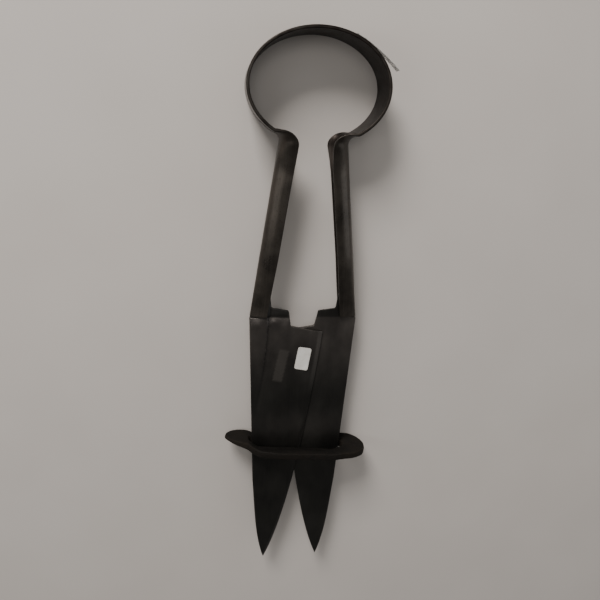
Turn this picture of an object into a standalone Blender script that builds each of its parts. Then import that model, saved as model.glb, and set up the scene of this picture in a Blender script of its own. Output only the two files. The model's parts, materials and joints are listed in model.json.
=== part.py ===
"""Bow-spring sheep shears, closed by a leather keeper and lying flat on their back.

Frame: metres, +Z up off the table, +Y towards the bow, X across the two handles.
The origin is on the table, under the middle of the bounding box.
The shears are symmetric about the plane X = 0, except that the left blade lies over the right.
The bow is one springy band, made as a crown and two arms so that it can bend in two steps. Each
arm turns about the bow's centre as the shears spring open, and each grip with its blade turns
about the same line as the shears are squeezed. The keeper slides along Y over the blades.
"""
import math

import bmesh
import bpy
from mathutils import Matrix

MM = 0.001
LEFT = -1.0
RIGHT = 1.0

# Driving dimensions
OVERALL_LENGTH = 340 * MM
BOW_WIDTH = 77.4 * MM
BOW_HEIGHT = 59.2 * MM
BAND_WIDTH = 26 * MM
BAND_THICKNESS = 1.8 * MM
GRIP_WIDTH = 10.5 * MM
GRIP_CURL = 9.95 * MM
GRIP_DEPTH = 16 * MM
GRIP_ROLL = math.radians(5)
GRIP_WALL = 1.5 * MM
SHOULDER_Y = 9.5 * MM
SHOULDER_HALF_WIDTH = 33 * MM
BLADE_THICKNESS = 1.8 * MM
TIP_X = 18.5 * MM
KEEPER_Y = -79.5 * MM
KEEPER_TILT = math.radians(-5.5)
GAP = 0.3 * MM

# Places that follow from them
MID_Z = BAND_WIDTH / 2
TOP_Y = OVERALL_LENGTH / 2
TIP_Y = -OVERALL_LENGTH / 2
BOW_A = BOW_WIDTH / 2
BOW_B = BOW_HEIGHT / 2
BOW_Y = TOP_Y - BOW_B
NECK_ANGLE = math.radians(-53)
CROWN_ANGLE = math.radians(45)
BLADE_Z = (BLADE_THICKNESS + GAP) / 2

# The bow and the two grips are one strip of steel. Its outer face follows the ellipse of the
# bow, turns in a small fillet at the neck and runs straight down to the shoulder.
NECK_FILLET = 4.5 * MM
GRIP_TOP_X = 19.2 * MM
GRIP_TOP_Y = 114.5 * MM
FLANGE_GROWTH = 7.0 * MM
FLANGE_SPREAD = 0.35
CURL_GROWTH = 30.0 * MM
GRIP_TAPER = 42 * MM
GRIP_END_HALF_DEPTH = 3.4 * MM
GRIP_END_RISE = 1.3 * MM


def smooth(value):
    """Ease from 0 to 1, flat at both ends."""
    value = min(1.0, max(0.0, value))
    return value * value * (3 - 2 * value)


def mix(low, high, share):
    return low + (high - low) * share


def cubic(start, handle_a, handle_b, end, steps):
    """Points along a cubic Bezier arc, without its last point."""
    points = []
    for index in range(steps):
        t = index / steps
        weights = ((1 - t) ** 3, 3 * t * (1 - t) ** 2, 3 * t * t * (1 - t), t ** 3)
        corners = (start, handle_a, handle_b, end)
        x = sum(w * c[0] for w, c in zip(weights, corners))
        y = sum(w * c[1] for w, c in zip(weights, corners))
        points.append((x, y))
    return points


def bow_point(angle):
    """A point on the bow's outer face."""
    return (BOW_A * math.cos(angle), BOW_Y + BOW_B * math.sin(angle))


def neck_frame():
    """The neck's two straight directions, as headings, and the fillet that joins them."""
    start = bow_point(NECK_ANGLE)
    enter = math.atan2(GRIP_TOP_Y - start[1], GRIP_TOP_X - start[0])
    leave = math.atan2(SHOULDER_Y - GRIP_TOP_Y, SHOULDER_HALF_WIDTH - GRIP_TOP_X)
    turn = (leave - enter) % math.tau
    return start, enter, leave, turn


def web_path():
    """Stations down one grip's outer face: (x, y, heading), from the bow to the shoulder."""
    start, enter, leave, turn = neck_frame()
    reach = math.hypot(GRIP_TOP_X - start[0], GRIP_TOP_Y - start[1])
    setback = NECK_FILLET * math.tan(turn / 2)
    stations = []
    for step in range(3):
        along = GAP + (reach - setback - GAP) * step / 3
        stations.append((start[0] + along * math.cos(enter), start[1] + along * math.sin(enter), enter))
    corner_x = start[0] + (reach - setback) * math.cos(enter)
    corner_y = start[1] + (reach - setback) * math.sin(enter)
    centre_x = corner_x - NECK_FILLET * math.sin(enter)
    centre_y = corner_y + NECK_FILLET * math.cos(enter)
    for step in range(9):
        heading = enter + turn * step / 8
        x = centre_x + NECK_FILLET * math.sin(heading)
        y = centre_y - NECK_FILLET * math.cos(heading)
        stations.append((x, y, heading))
    last_x, last_y, heading = stations[-1]
    length = (last_y - SHOULDER_Y) / -math.sin(leave)
    for step in range(1, 25):
        along = length * step / 24
        stations.append((last_x + along * math.cos(leave), last_y + along * math.sin(leave), leave))
    return stations


def grip_section(side, distance, x, y, heading):
    """One station's curve, from its lower edge round the outside to its upper edge.

    The flat band curls up to a half round by the end of the neck. It is rolled so that its upper
    edge reaches further in, and it flattens towards the shoulder.
    """
    columns = 10
    taper = smooth((SHOULDER_Y + GRIP_TAPER - y) / GRIP_TAPER)
    flanged = smooth(distance / FLANGE_GROWTH) ** 2
    spread = math.pi / 2 * mix(FLANGE_SPREAD, 1.0, flanged)
    curled = smooth(distance / CURL_GROWTH)
    depth = mix(GRIP_CURL, GRIP_WIDTH, taper) * flanged
    half = mix(mix(BAND_WIDTH, GRIP_DEPTH, curled) / 2, GRIP_END_HALF_DEPTH, taper)
    roll = GRIP_ROLL * curled * (1 - taper)
    inward_x = mix(math.sin(heading), -1.0, taper)
    inward_y = mix(-math.cos(heading), 0.0, taper)
    middle = MID_Z - side * GRIP_END_RISE * taper + depth * math.sin(roll) / 2
    row = []
    for column in range(columns + 1):
        around = spread * (2 * column / columns - 1)
        curl = depth * (1 - math.cos(around)) / (1 - math.cos(spread))
        rise = half * math.sin(around) / math.sin(spread)
        across = curl * math.cos(roll) + rise * math.sin(roll)
        height = middle + rise * math.cos(roll) - curl * math.sin(roll)
        row.append((side * (x + inward_x * across), y + inward_y * across, height))
    return row


def material(name, colour, roughness, metallic):
    made = bpy.data.materials.new(name)
    made.use_nodes = True
    shader = made.node_tree.nodes["Principled BSDF"]
    shader.inputs["Base Color"].default_value = (*colour, 1.0)
    shader.inputs["Roughness"].default_value = roughness
    shader.inputs["Metallic"].default_value = metallic
    return made


def add_object(name, mesh, collection, finish=None):
    made = bpy.data.objects.new(name, mesh)
    collection.objects.link(made)
    if finish:
        mesh.materials.append(finish)
    return made


def add_cutter(name, mesh, collection):
    made = add_object(name, mesh, collection)
    made.hide_render = True
    made.display_type = "WIRE"
    return made


def solidify(made, thickness):
    shell = made.modifiers.new("wall", "SOLIDIFY")
    shell.thickness = thickness
    shell.offset = -1.0
    shell.use_even_offset = True


def grid_mesh(name, rows, flip):
    """A sheet through rows of points, all of one length."""
    sheet = bmesh.new()
    grid = [[sheet.verts.new(point) for point in row] for row in rows]
    for upper, lower in zip(grid, grid[1:]):
        for column in range(len(upper) - 1):
            corners = (upper[column], upper[column + 1], lower[column + 1], lower[column])
            sheet.faces.new(tuple(reversed(corners)) if flip else corners)
    mesh = bpy.data.meshes.new(name)
    sheet.to_mesh(mesh)
    sheet.free()
    mesh.shade_smooth()
    return mesh


def loft_mesh(name, rings):
    """A closed solid through rings of points, capped at both ends."""
    solid = bmesh.new()
    grid = [[solid.verts.new(point) for point in ring] for ring in rings]
    count = len(grid[0])
    for first, second in zip(grid, grid[1:]):
        for index in range(count):
            after = (index + 1) % count
            solid.faces.new((first[index], first[after], second[after], second[index]))
    solid.faces.new(tuple(reversed(grid[0])))
    solid.faces.new(grid[-1])
    bmesh.ops.recalc_face_normals(solid, faces=solid.faces)
    mesh = bpy.data.meshes.new(name)
    solid.to_mesh(mesh)
    solid.free()
    return mesh


def plate_mesh(name, outlines, thickness):
    """A flat plate from closed outlines in XY, the first one outside and the rest holes."""
    curve = bpy.data.curves.new(name, "CURVE")
    curve.dimensions = "2D"
    curve.fill_mode = "BOTH"
    curve.extrude = thickness / 2
    for outline in outlines:
        spline = curve.splines.new("POLY")
        spline.points.add(len(outline) - 1)
        for point, (x, y) in zip(spline.points, outline):
            point.co = (x, y, 0.0, 1.0)
        spline.use_cyclic_u = True
    helper = bpy.data.objects.new(name, curve)
    bpy.context.scene.collection.objects.link(helper)
    bpy.context.view_layer.update()
    evaluated = helper.evaluated_get(bpy.context.evaluated_depsgraph_get())
    mesh = bpy.data.meshes.new_from_object(evaluated)
    bpy.data.objects.remove(helper)
    bpy.data.curves.remove(curve)
    solid = bmesh.new()
    solid.from_mesh(mesh)
    bmesh.ops.remove_doubles(solid, verts=solid.verts, dist=0.01 * MM)
    bmesh.ops.recalc_face_normals(solid, faces=solid.faces)
    solid.to_mesh(mesh)
    solid.free()
    mesh.materials.clear()
    return mesh


def boolean(made, cutter, operation):
    step = made.modifiers.new(cutter.name, "BOOLEAN")
    step.operation = operation
    step.solver = "EXACT"
    step.object = cutter


def make_band(name, first_angle, last_angle, steps, parts, steel):
    """A stretch of the bow: a flat band standing on edge along the ellipse."""
    rows = []
    for step in range(steps + 1):
        x, y = bow_point(mix(first_angle, last_angle, step / steps))
        rows.append([(x, y, 0.0), (x, y, BAND_WIDTH)])
    band = add_object(name, grid_mesh(name, rows, True), parts, steel)
    solidify(band, BAND_THICKNESS)
    return band


def make_bow(parts, steel):
    """The bow's crown and its two arms, with a saw cut's gap between them."""
    cut = GAP / math.hypot(BOW_A * math.sin(CROWN_ANGLE), BOW_B * math.cos(CROWN_ANGLE))
    arm_end = CROWN_ANGLE - cut
    make_band("bow_spring", CROWN_ANGLE, math.pi - CROWN_ANGLE, 36, parts, steel)
    right_arm = make_band("right_bow_arm", NECK_ANGLE, arm_end, 36, parts, steel)
    left_arm = make_band("left_bow_arm", math.pi - arm_end, math.pi - NECK_ANGLE, 36, parts, steel)
    return left_arm, right_arm


def make_shank(name, side, parts, steel):
    """One grip: the band curled into a half-round channel that is open to the other grip."""
    rows = []
    distance = 0.0
    last = None
    for x, y, heading in web_path():
        if last:
            distance += math.hypot(x - last[0], y - last[1])
        last = (x, y)
        rows.append(grip_section(side, distance, x, y, heading))
    shank = add_object(name, grid_mesh(name, rows, side == LEFT), parts, steel)
    solidify(shank, GRIP_WALL)
    return shank


HEEL = (-12.8 * MM, -0.5 * MM)
TIP = (TIP_X, TIP_Y)
EDGE_HANDLES = ((-6.5 * MM, -70 * MM), (4.9 * MM, -140 * MM))
BACK_END = (27.7 * MM, -107 * MM)
BACK_HANDLES = ((25.1 * MM, -150 * MM), (25.3 * MM, -132 * MM))
TANG_TOP_Y = 24 * MM
TANG_OUTER_X = 27.2 * MM
TANG_INNER_X = 20.8 * MM
LEDGE_OUTER = (19.8 * MM, 14.8 * MM)
LEDGE_INNER = (9.2 * MM, 13.2 * MM)
NOTCH_FOOT = (7.4 * MM, 3.2 * MM)
BEVEL_AT_HEEL = 4.6 * MM
BEVEL_AT_TIP = 2.6 * MM
EDGE_THICKNESS = 0.3 * MM
SPINE_HEIGHT = 2.4 * MM
SPINE_INNER_X = 21.2 * MM
SPINE_END_Y = -58 * MM
SPINE_HANDLES = ((21.2 * MM, -26 * MM), (26.5 * MM, -44 * MM))
SPINE_OVERLAP = 0.6 * MM
SPINE_FOOT_HEIGHT = 0.05 * MM
WEDGE_MARGIN = 1.0 * MM
WEDGE_OVERRUN = 8.0 * MM


def back_x(y):
    """Half width of the straight back of a blade at y."""
    share = (SHOULDER_Y - GAP - y) / (SHOULDER_Y - GAP - BACK_END[1])
    return mix(SHOULDER_HALF_WIDTH, BACK_END[0], share)


def blade_outline():
    """A blade's outline on its own side, with X growing towards its back."""
    outline = cubic(HEEL, *EDGE_HANDLES, TIP, 28)
    outline += cubic(TIP, *BACK_HANDLES, BACK_END, 14)
    outline.append(BACK_END)
    outline.append((SHOULDER_HALF_WIDTH, SHOULDER_Y - GAP))
    outline.append((TANG_OUTER_X, SHOULDER_Y - GAP))
    outline.append((TANG_OUTER_X, TANG_TOP_Y))
    outline.append((TANG_INNER_X, TANG_TOP_Y))
    outline.append(LEDGE_OUTER)
    outline.append(LEDGE_INNER)
    outline.append(NOTCH_FOOT)
    return outline


def spine_outline():
    """The thick tongue that runs from the shoulder down a blade's back."""
    inner_top = (SPINE_INNER_X, SHOULDER_Y - GAP)
    inner_low = (back_x(SPINE_END_Y) - MM, SPINE_END_Y)
    outline = cubic(inner_top, *SPINE_HANDLES, inner_low, 10)
    outline.append(inner_low)
    outline.append((back_x(SPINE_END_Y), SPINE_END_Y))
    outline.append((SHOULDER_HALF_WIDTH, SHOULDER_Y - GAP))
    return outline


def bevel_rings(side, face):
    """Rings of a wedge that grinds the bevel along the cutting edge, on the outer face."""
    points = cubic(HEEL, *EDGE_HANDLES, TIP, 28) + [TIP]
    rings = []
    for index, (x, y) in enumerate(points):
        before = points[max(index - 1, 0)]
        after = points[min(index + 1, len(points) - 1)]
        run = math.hypot(after[0] - before[0], after[1] - before[1])
        inward = ((before[1] - after[1]) / run, (after[0] - before[0]) / run)
        width = mix(BEVEL_AT_HEEL, BEVEL_AT_TIP, index / (len(points) - 1))
        slope = (BLADE_THICKNESS - EDGE_THICKNESS) / width
        low = EDGE_THICKNESS - BLADE_THICKNESS / 2 - slope * WEDGE_MARGIN
        high = BLADE_THICKNESS / 2 + slope * WEDGE_MARGIN
        lead = WEDGE_OVERRUN * ((index == 0) - (index == len(points) - 1))
        corners = ((-WEDGE_MARGIN, low), (width + WEDGE_MARGIN, high), (-WEDGE_MARGIN, high + WEDGE_MARGIN))
        ring = []
        for across, height in corners:
            ring.append((side * (x + inward[0] * across), y + inward[1] * across + lead, face * height))
        rings.append(ring)
    return rings


def make_blade(name, side, parts, cutters, steel):
    """One blade: a plate with a tang in the grip, a thick back and a bevelled cutting edge."""
    face = -side
    height = MID_Z + face * BLADE_Z
    outline = [(side * x, y) for x, y in blade_outline()]
    blade = add_object(name, plate_mesh(name, [outline], BLADE_THICKNESS), parts, steel)
    blade.location.z = height

    tongue = plate_mesh(name + "_spine", [[(side * x, y) for x, y in spine_outline()]], 2 * SPINE_OVERLAP)
    for vertex in tongue.vertices:
        if vertex.co.z * face > 0:
            share = (vertex.co.y - SPINE_END_Y) / (SHOULDER_Y - SPINE_END_Y)
            vertex.co.z = face * mix(SPINE_FOOT_HEIGHT, SPINE_HEIGHT, share)
    spine = add_cutter(name + "_spine", tongue, cutters)
    spine.location.z = height + face * BLADE_THICKNESS / 2
    boolean(blade, spine, "UNION")

    wedge = add_cutter(name + "_bevel", loft_mesh(name + "_bevel", bevel_rings(side, face)), cutters)
    wedge.location.z = height
    boolean(blade, wedge, "DIFFERENCE")
    return blade


LABEL_WIDTH = 8.5 * MM
LABEL_LENGTH = 15 * MM
LABEL_THICKNESS = 0.25 * MM
LABEL_CORNER = 1.6 * MM
LABEL_X = 1.1 * MM
LABEL_Y = -18.1 * MM
LABEL_TILT = math.radians(-8)


def make_label(parts, paper):
    """A blank sticker with round corners on the left blade."""
    outline = []
    for quarter, (sign_x, sign_y) in enumerate(((1, 1), (-1, 1), (-1, -1), (1, -1))):
        for step in range(5):
            angle = math.radians(90 * quarter + 22.5 * step)
            x = sign_x * (LABEL_WIDTH / 2 - LABEL_CORNER) + LABEL_CORNER * math.cos(angle)
            y = sign_y * (LABEL_LENGTH / 2 - LABEL_CORNER) + LABEL_CORNER * math.sin(angle)
            outline.append((x, y))
    label = add_object("price_label", plate_mesh("price_label", [outline], LABEL_THICKNESS), parts, paper)
    surface = MID_Z + BLADE_Z + BLADE_THICKNESS / 2
    label.location = (LABEL_X, LABEL_Y, surface + GAP + LABEL_THICKNESS / 2)
    label.rotation_euler.z = LABEL_TILT
    return label


KEEPER_HALF_LENGTH = 47.2 * MM
KEEPER_FRONT = 15.5 * MM
KEEPER_REAR = MID_Z
KEEPER_THICKNESS = 4.6 * MM
SLOT_HALF_LENGTH = 31.4 * MM
SLOT_HALF_HEIGHT = 2.5 * MM


def keeper_outline():
    """The keeper's hand-cut oval: long, and a little deeper in front than behind."""
    steps = 48
    outline = []
    for step in range(steps):
        angle = math.tau * step / steps
        across = math.cos(angle)
        up = math.sin(angle)
        depth = KEEPER_FRONT if up > 0 else KEEPER_REAR
        x = KEEPER_HALF_LENGTH * math.copysign(abs(across) ** 0.95, across)
        outline.append((x, depth * math.copysign(abs(up) ** 0.85, up)))
    return outline


def slot_outline():
    """The slot for both blades, with round ends."""
    steps = 6
    outline = []
    for sign in (1, -1):
        for step in range(steps + 1):
            angle = math.pi * (step / steps - 0.5)
            x = sign * (SLOT_HALF_LENGTH - SLOT_HALF_HEIGHT + SLOT_HALF_HEIGHT * abs(math.cos(angle)) ** 0.4)
            outline.append((x, sign * SLOT_HALF_HEIGHT * math.sin(angle)))
    return outline


def make_keeper(parts, leather):
    """The leather keeper: a thick oval with a slot, pushed up over both blades."""
    mesh = plate_mesh("leather_keeper", [keeper_outline(), slot_outline()], KEEPER_THICKNESS)
    keeper = add_object("leather_keeper", mesh, parts, leather)
    keeper.location = (0.0, KEEPER_Y, MID_Z)
    keeper.rotation_euler = (math.pi / 2, 0.0, KEEPER_TILT)
    return keeper


TAPE_THICKNESS = 0.3 * MM
TAPE_WIDTH = 6 * MM
TAPE_START = math.radians(64)
TAPE_END = math.radians(47)
TAPE_FLAP = 19.3 * MM


def make_tape(parts, film):
    """A strip of clear tape that sticks to the bow's shoulder and stands off at its free end."""
    lift = GAP + TAPE_THICKNESS
    grow_a = BOW_A + lift
    grow_b = BOW_B + lift
    steps = 14
    line = []
    for step in range(steps + 1):
        angle = mix(TAPE_START, TAPE_END, step / steps)
        line.append((grow_a * math.cos(angle), BOW_Y + grow_b * math.sin(angle)))
    heading = math.atan2(-grow_b * math.cos(TAPE_END), grow_a * math.sin(TAPE_END))
    for step in (1, 2):
        along = TAPE_FLAP * step / 2
        x = line[steps][0] + along * math.cos(heading)
        y = line[steps][1] + along * math.sin(heading)
        line.append((x, y))
    top = BAND_WIDTH
    rows = [[(x, y, top - TAPE_WIDTH), (x, y, top)] for x, y in line]
    tape = add_object("tape_strip", grid_mesh("tape_strip", rows, False), parts, film)
    solidify(tape, TAPE_THICKNESS)
    return tape


def swing_origin(pieces):
    """Give each swinging piece its origin on the swing axis, through the bow's centre."""
    for made in pieces:
        place = Matrix.LocRotScale(made.location, made.rotation_euler, None)
        height = made.location.z
        made.data.transform(Matrix.Translation((0.0, -BOW_Y, -height)) @ place)
        made.rotation_euler = (0.0, 0.0, 0.0)
        made.location = (0.0, BOW_Y, height)


def main():
    for old in list(bpy.data.objects):
        bpy.data.objects.remove(old, do_unlink=True)
    parts = bpy.data.collections.new("sheep_shears")
    cutters = bpy.data.collections.new("cutters")
    for collection in (parts, cutters):
        bpy.context.scene.collection.children.link(collection)

    spring_steel = material("spring_steel", (0.055, 0.047, 0.038), 0.45, 0.85)
    left_steel = material("left_blade_steel", (0.030, 0.029, 0.029), 0.42, 0.85)
    right_steel = material("right_blade_steel", (0.032, 0.031, 0.031), 0.42, 0.85)
    left_grip = material("left_grip_steel", (0.060, 0.052, 0.042), 0.40, 0.85)
    right_grip = material("right_grip_steel", (0.058, 0.050, 0.042), 0.40, 0.85)
    leather = material("keeper_leather", (0.050, 0.034, 0.024), 0.80, 0.0)
    paper = material("label_paper", (0.78, 0.77, 0.74), 0.70, 0.0)
    film = material("clear_tape", (0.62, 0.63, 0.62), 0.35, 0.0)

    left_arm, right_arm = make_bow(parts, spring_steel)
    make_tape(parts, film)
    left = [left_arm, make_shank("left_shank", LEFT, parts, left_grip)]
    right = [right_arm, make_shank("right_shank", RIGHT, parts, right_grip)]
    left_blade = make_blade("left_blade", LEFT, parts, cutters, left_steel)
    right_blade = make_blade("right_blade", RIGHT, parts, cutters, right_steel)
    label = make_label(parts, paper)
    swing_origin(left + right + [left_blade, right_blade, label])
    make_keeper(parts, leather)


main()
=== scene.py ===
"""The looks of the bow-spring sheep shears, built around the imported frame.

Metres, +Z up off the table, +Y towards the bow, X across the two grips.
The bow and the grips are one strip of steel. It is drawn as four lengths, because each length
bends between two bodies. The blades, the keeper and the label are slabs: a dense sheet inside an
outline, with one height for its upper face and one for its lower face.
"""
import json
import math

import bmesh
import bpy
import numpy as np
from mathutils import Matrix, Vector, noise
from mathutils.geometry import delaunay_2d_cdt


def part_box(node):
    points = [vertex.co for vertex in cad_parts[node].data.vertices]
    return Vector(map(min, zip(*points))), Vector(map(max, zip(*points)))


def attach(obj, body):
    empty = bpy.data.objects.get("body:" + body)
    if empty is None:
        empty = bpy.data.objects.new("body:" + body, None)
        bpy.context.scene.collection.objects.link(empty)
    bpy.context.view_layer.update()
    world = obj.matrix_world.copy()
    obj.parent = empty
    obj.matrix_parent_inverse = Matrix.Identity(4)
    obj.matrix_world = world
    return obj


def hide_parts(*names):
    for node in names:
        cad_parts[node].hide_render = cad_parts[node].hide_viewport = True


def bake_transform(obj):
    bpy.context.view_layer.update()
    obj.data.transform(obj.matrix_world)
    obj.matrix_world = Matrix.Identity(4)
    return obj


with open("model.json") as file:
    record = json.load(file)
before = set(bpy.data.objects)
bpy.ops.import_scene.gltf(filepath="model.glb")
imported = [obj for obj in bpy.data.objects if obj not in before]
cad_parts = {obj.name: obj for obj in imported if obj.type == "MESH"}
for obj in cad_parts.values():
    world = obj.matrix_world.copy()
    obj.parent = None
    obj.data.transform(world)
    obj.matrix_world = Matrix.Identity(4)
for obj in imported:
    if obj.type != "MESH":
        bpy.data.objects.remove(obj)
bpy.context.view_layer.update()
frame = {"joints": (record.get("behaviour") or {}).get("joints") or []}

MM = 0.001
LEFT = -1.0
RIGHT = 1.0

# Sizes and places read from the frame
BOW_LOW, BOW_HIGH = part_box("bow_spring")
KEEPER_LOW, KEEPER_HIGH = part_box("leather_keeper")
BLADE_LOW, BLADE_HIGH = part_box("right_blade")
JOINT_PLACES = {joint["name"]: joint["pos_m"] for joint in frame["joints"] if "pos_m" in joint}
SWING = Vector(JOINT_PLACES["left_spring_open"])
BAND_WIDTH = BOW_HIGH.z - BOW_LOW.z
MID_Z = (BOW_LOW.z + BOW_HIGH.z) / 2
TOP_Y = BOW_HIGH.y
BOW_Y = SWING.y
BOW_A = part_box("right_bow_arm")[1].x
BOW_B = TOP_Y - BOW_Y
SHOULDER_HALF_WIDTH = BLADE_HIGH.x
SHOULDER_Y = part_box("right_shank")[0].y
TIP_Y = BLADE_LOW.y

# The strip
BAND_THICKNESS = 1.8 * MM
GRIP_WALL = 1.5 * MM
GRIP_WIDTH = 10.5 * MM
GRIP_CURL = 9.95 * MM
GRIP_DEPTH = 16 * MM
GRIP_ROLL = math.radians(5)
GRIP_TAPER = 42 * MM
GRIP_END_HALF_DEPTH = 3.4 * MM
GRIP_END_RISE = 1.3 * MM
NECK_ANGLE = math.radians(-53)
NECK_FILLET = 4.5 * MM
FLANGE_LEAD = 1.5 * MM
FLANGE_GROWTH = 8.5 * MM
FLANGE_SPREAD = 0.35
CURL_GROWTH = 24.0 * MM
GRIP_TOP = (19.2 * MM, 114.5 * MM)
EDGE_ROUND = 0.55
EDGE_RINGS = (0.0, 0.08, 0.28, 0.6, 1.0, 1.8)
HANDLED_FROM = 14 * MM
RIPPLE = 0.10 * MM
RIPPLE_SCALE = 16 * MM
EDGE_WEAR = 1.6 * MM
STRIP_END_ROUND = 0.4 * MM
SHARP_STRIP = math.radians(50)
TOP_STEPS = 48
LOW_STEPS = 28
FILLET_STEPS = 14
GRIP_STEPS = 76
SECTION_STEPS = 129
SECTION_POINTS = 30

# The noise's seeds
STRIP_SEED = 3
BLADE_SEED = 5
HOLLOW_SEED = 9
FOLD_SEED = 13
LABEL_SEED = 21
LEATHER_SEED = 31
GRAIN_SEED = 33


def smooth(value):
    """Ease from 0 to 1, flat at both ends. Takes numbers and arrays."""
    value = np.clip(value, 0.0, 1.0)
    return value * value * (3 - 2 * value)


def mix(low, high, share):
    """The value at a share of the way from low to high."""
    return low + (high - low) * share


def cubic(start, handle_a, handle_b, end, steps):
    """Points along a cubic Bezier arc, without its last point."""
    share = np.arange(steps)[:, None] / steps
    corners = [np.array(corner) for corner in (start, handle_a, handle_b, end)]
    weights = ((1 - share) ** 3, 3 * share * (1 - share) ** 2, 3 * share**2 * (1 - share), share**3)
    return [tuple(point) for point in sum(weight * corner for weight, corner in zip(weights, corners))]


def ripples(points, scale, seed):
    """Smooth noise from -1 to 1 at each point, one swell per scale."""
    offset = Vector((seed * 7.3, seed * 3.1, seed * 5.7))
    return np.array([noise.noise(Vector(point) / scale + offset) for point in points])


def new_object(name, points, faces, finish):
    """A smooth-shaded mesh object in the scene."""
    mesh = bpy.data.meshes.new(name)
    mesh.from_pydata([tuple(point) for point in points], [], faces)
    mesh.materials.append(finish)
    mesh.shade_smooth()
    made = bpy.data.objects.new(name, mesh)
    bpy.context.scene.collection.objects.link(made)
    return made


def paint(made, name, values):
    """Store one number per vertex, for the material to read."""
    layer = made.data.attributes.new(name, "FLOAT", "POINT")
    layer.data.foreach_set("value", np.asarray(values, np.float32))


# ---------------------------------------------------------------- the strip

def bow_station(angle):
    """A station on the bow's outer face: x, y and heading."""
    x = BOW_A * math.cos(angle)
    y = BOW_Y + BOW_B * math.sin(angle)
    heading = math.atan2(-BOW_B * math.cos(angle), BOW_A * math.sin(angle))
    return x, y, heading


def neck_and_grip():
    """Stations from the bow's lower end through the neck's fillet and down the grip."""
    start = bow_station(NECK_ANGLE)
    enter = math.atan2(GRIP_TOP[1] - start[1], GRIP_TOP[0] - start[0])
    leave = math.atan2(SHOULDER_Y - GRIP_TOP[1], SHOULDER_HALF_WIDTH - GRIP_TOP[0])
    turn = (leave - enter) % math.tau
    reach = math.hypot(GRIP_TOP[0] - start[0], GRIP_TOP[1] - start[1])
    straight = reach - NECK_FILLET * math.tan(turn / 2)
    stations = []
    for step in range(1, 4):
        along = straight * step / 4
        stations.append((start[0] + along * math.cos(enter), start[1] + along * math.sin(enter), enter))
    centre_x = start[0] + straight * math.cos(enter) - NECK_FILLET * math.sin(enter)
    centre_y = start[1] + straight * math.sin(enter) + NECK_FILLET * math.cos(enter)
    for step in range(FILLET_STEPS + 1):
        heading = enter + turn * step / FILLET_STEPS
        x = centre_x + NECK_FILLET * math.sin(heading)
        y = centre_y - NECK_FILLET * math.cos(heading)
        stations.append((x, y, heading))
    last_x, last_y, heading = stations[-1]
    length = (last_y - SHOULDER_Y) / -math.sin(leave)
    shares = [step / GRIP_STEPS for step in range(1, GRIP_STEPS)]
    shares += [1 - STRIP_END_ROUND / length, 1 - 0.3 * STRIP_END_ROUND / length, 1.0]
    for share in shares:
        along = length * share
        stations.append((last_x + along * math.cos(leave), last_y + along * math.sin(leave), leave))
    return stations


def with_distance(stations, start):
    """Add to each station its distance along the strip, which is 0 where the neck begins."""
    measured = []
    distance = start
    last = stations[0]
    for x, y, heading in stations:
        distance += math.hypot(x - last[0], y - last[1])
        last = (x, y)
        measured.append((x, y, heading, distance))
    return measured


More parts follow.
